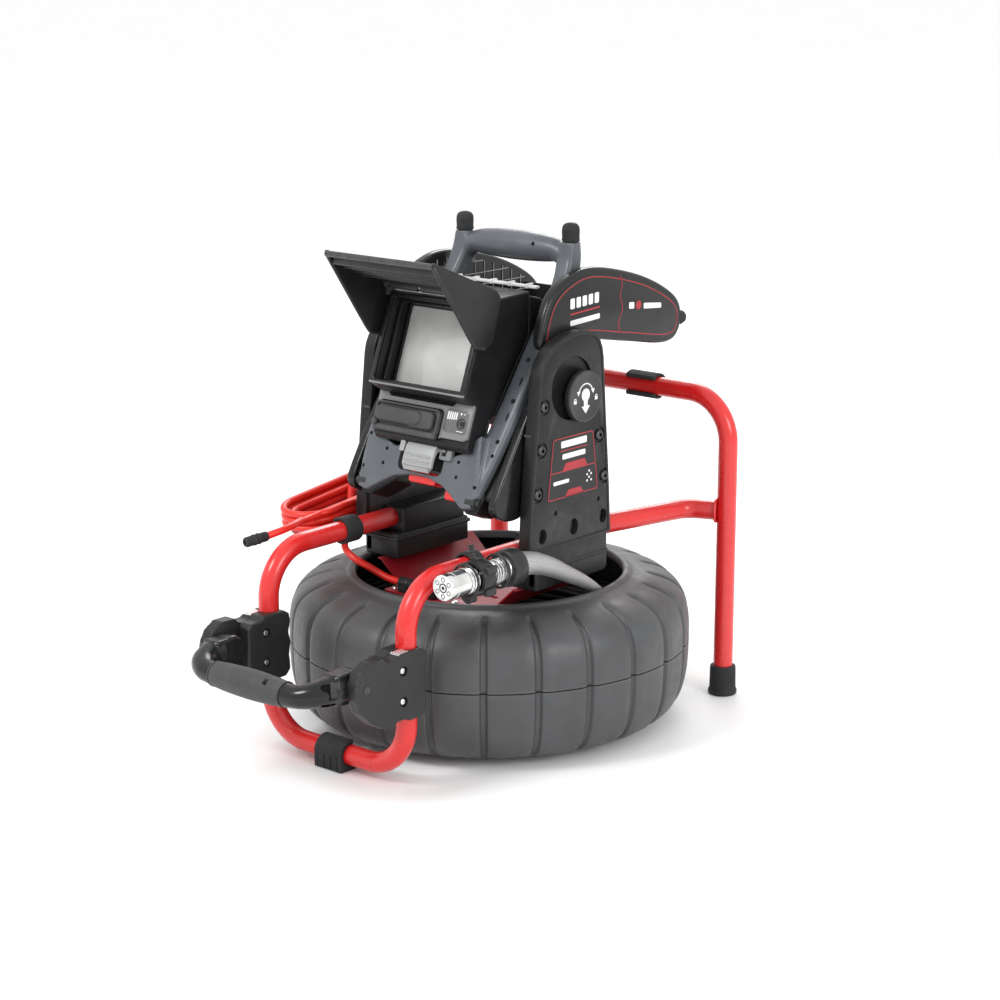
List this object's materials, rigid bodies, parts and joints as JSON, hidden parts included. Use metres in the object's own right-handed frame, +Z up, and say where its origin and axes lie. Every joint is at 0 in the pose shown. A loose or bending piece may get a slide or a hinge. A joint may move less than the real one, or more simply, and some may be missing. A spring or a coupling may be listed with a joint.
{
  "type": "pipe inspection camera reel",
  "caption": "Pipe inspection camera on a push-cable drum in a bent-tube frame, with a docked tilting monitor and sun hood.",
  "frame": {"origin": "centre of the whole object's box on the floor, below the front part of the drum", "axes": "+Z up along the drum's axis, -Y the side that the screen faces, +X the side with the lock knob and the camera head"},
  "size_m": [0.391, 0.537, 0.4845],
  "materials": {
    "frame_red": "bright red powder coat, semi gloss",
    "tray_red": "red powder coat on sheet steel",
    "drum_grey": "dark grey rotomoulded polyethylene with a fine grain",
    "black_plastic": "black glass-filled nylon, fine spark texture",
    "monitor_grey": "blue-grey moulded frame, satin",
    "rubber": "black rubber, matt",
    "steel": "bright stainless steel",
    "push_cable": "black push cable jacket",
    "braided_sleeve": "grey woven stainless braid",
    "lens_glass": "clear sapphire window over a ring of LEDs",
    "screen_glass": "LCD behind a glossy cover",
    "latch_grey": "light grey moulded catch",
    "circuit_board": "green circuit board",
    "cable_red": "red-orange cable jacket"
  },
  "bodies": {
    "frame": {"front_loop_tube": "frame_red", "rear_loop_tube": "frame_red", "left_rail_tube": "frame_red", "right_rail_tube": "frame_red", "tray": "tray_red", "left_side_plate": "black_plastic", "right_side_plate": "black_plastic", "left_clamp_outer": "black_plastic", "left_clamp_inner": "black_plastic", "right_clamp_outer": "black_plastic", "right_clamp_inner": "black_plastic", "camera_holder": "black_plastic", "cable_gland": "black_plastic", "cable_clip": "black_plastic", "slip_ring": "black_plastic", "system_cable_plug": "black_plastic", "left_foot": "rubber", "right_foot": "rubber", "front_foot_pad": "rubber", "left_crossbar_pad": "rubber", "right_crossbar_pad": "rubber", "rail_pad": "rubber", "front_guide": "rubber", "rear_guide": "rubber", "hub_axle": "steel", "left_handle_pin": "steel", "right_handle_pin": "steel", "camera_head": "steel", "camera_spring": "steel", "cable_sleeve": "braided_sleeve", "camera_lens": "lens_glass", "system_cable_lead": "cable_red", "system_cable_coil": "cable_red", "system_cable_tail": "cable_red"},
    "drum": {"drum_lower_shell": "drum_grey", "drum_upper_shell": "drum_grey", "drum_hub": "drum_grey", "axle_bearing": "steel", "push_cable_coil": "push_cable"},
    "front_handle": {"front_handle_frame": "black_plastic", "front_handle_grip": "rubber"},
    "lock_knob_body": {"lock_knob": "monitor_grey"},
    "monitor": {"monitor_frame": "monitor_grey", "screen_housing": "black_plastic", "rear_cover": "black_plastic", "hood_pin": "steel", "left_cheek": "black_plastic", "right_cheek": "black_plastic", "left_fin": "black_plastic", "right_fin": "black_plastic", "left_stop_cap": "rubber", "right_stop_cap": "rubber", "storage_tray": "black_plastic", "pivot_shaft": "steel", "lcd_panel": "screen_glass", "main_board": "circuit_board"},
    "hood_flap": {"screen_hood": "black_plastic"},
    "port_door_flap": {"port_door": "rubber"},
    "latch": {"latch_paddle": "latch_grey"},
    "button": {"power_button": "rubber"}
  },
  "joints": [
    {"name": "drum_spin", "type": "hinge", "parent": "frame", "child": "drum", "pos_m": [0, 0.066, 0.058], "axis": [0, 0, 1], "continuous": true},
    {"name": "front_handle_fold", "type": "hinge", "parent": "frame", "child": "front_handle", "pos_m": [0, -0.212, 0.112], "axis": [1, 0, 0], "range_deg": [-60, 85]},
    {"name": "lock_knob_turn", "type": "hinge", "parent": "frame", "child": "lock_knob_body", "pos_m": [0.11, 0.068, 0.33], "axis": [1, 0, 0], "range_deg": [0, 90]},
    {"name": "monitor_tilt", "type": "hinge", "parent": "frame", "child": "monitor", "pos_m": [0, 0.068, 0.33], "axis": [1, 0, 0], "range_deg": [-8, 15]},
    {"name": "hood_fold", "type": "hinge", "parent": "monitor", "child": "hood_flap", "pos_m": [0, -0.009, 0.427], "axis": [1, 0, 0], "range_deg": [0, 90]},
    {"name": "port_door_hinge", "type": "hinge", "parent": "monitor", "child": "port_door_flap", "pos_m": [0, -0.03646, 0.2958], "axis": [1, 0, 0], "range_deg": [0, 95]},
    {"name": "latch_lift", "type": "hinge", "parent": "monitor", "child": "latch", "pos_m": [0, -0.0269, 0.28149], "axis": [-1, 0, 0], "range_deg": [0, 22], "stiffness_Nm_per_rad": 0.2},
    {"name": "power_button_press", "type": "slide", "parent": "monitor", "child": "button", "axis": [0, 0.9354, -0.3535], "range_m": [0, 0.0012], "stiffness_N_per_m": 500}
  ]
}
